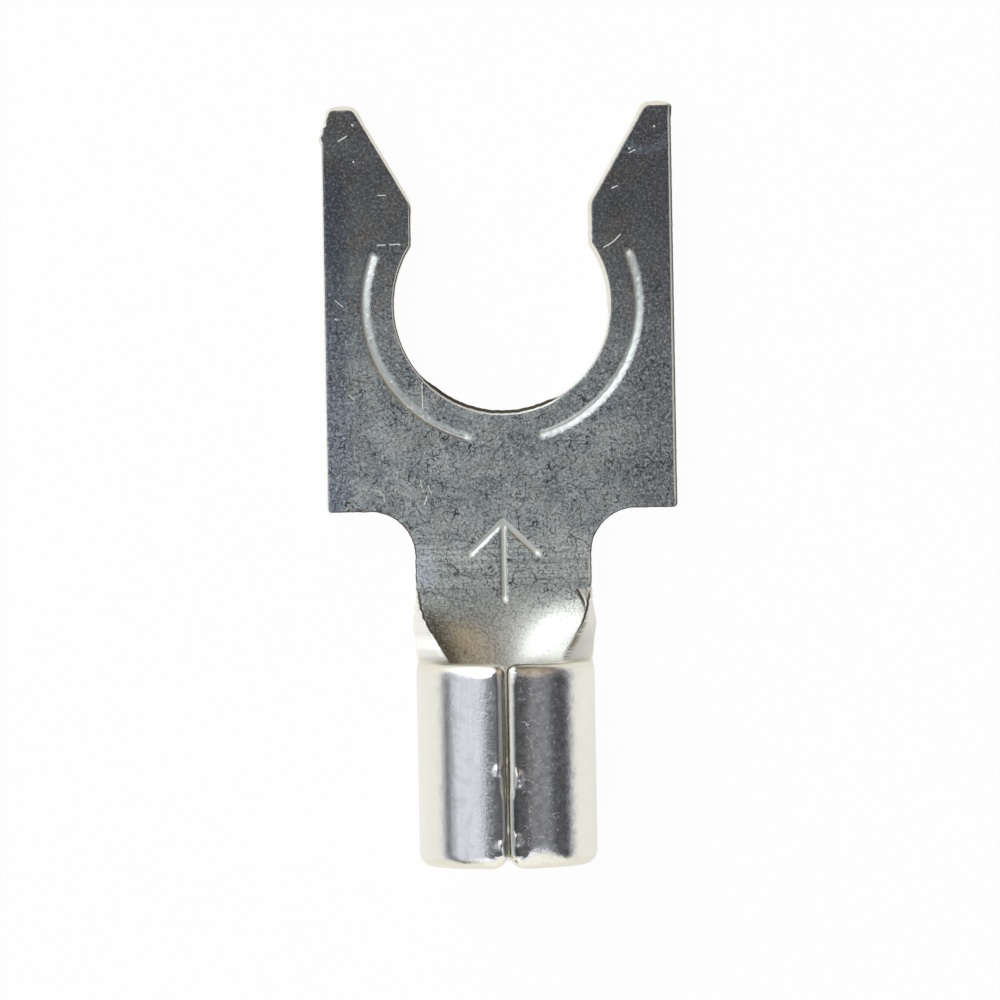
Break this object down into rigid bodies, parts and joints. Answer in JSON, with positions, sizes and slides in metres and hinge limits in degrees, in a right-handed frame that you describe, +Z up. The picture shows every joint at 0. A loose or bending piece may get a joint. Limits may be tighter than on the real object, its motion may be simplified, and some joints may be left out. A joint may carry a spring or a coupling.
{
  "type": "fork terminal",
  "caption": "Bare locking fork terminal stamped from one metal strip: flared fork with a round stud seat, short neck and a rolled wire barrel with a butted seam.",
  "frame": {"origin": "centre of the stud seat, on the underside of the tongue", "axes": "+Y out past the prong tips, +Z up from the surface it lies on, X across the fork"},
  "size_m": [0.0083, 0.0181, 0.0042],
  "materials": {
    "tin_plate": "dull tin plate over copper, finely pitted and scratched"
  },
  "bodies": {
    "root": {"fork_terminal": "tin_plate"}
  },
  "joints": []
}
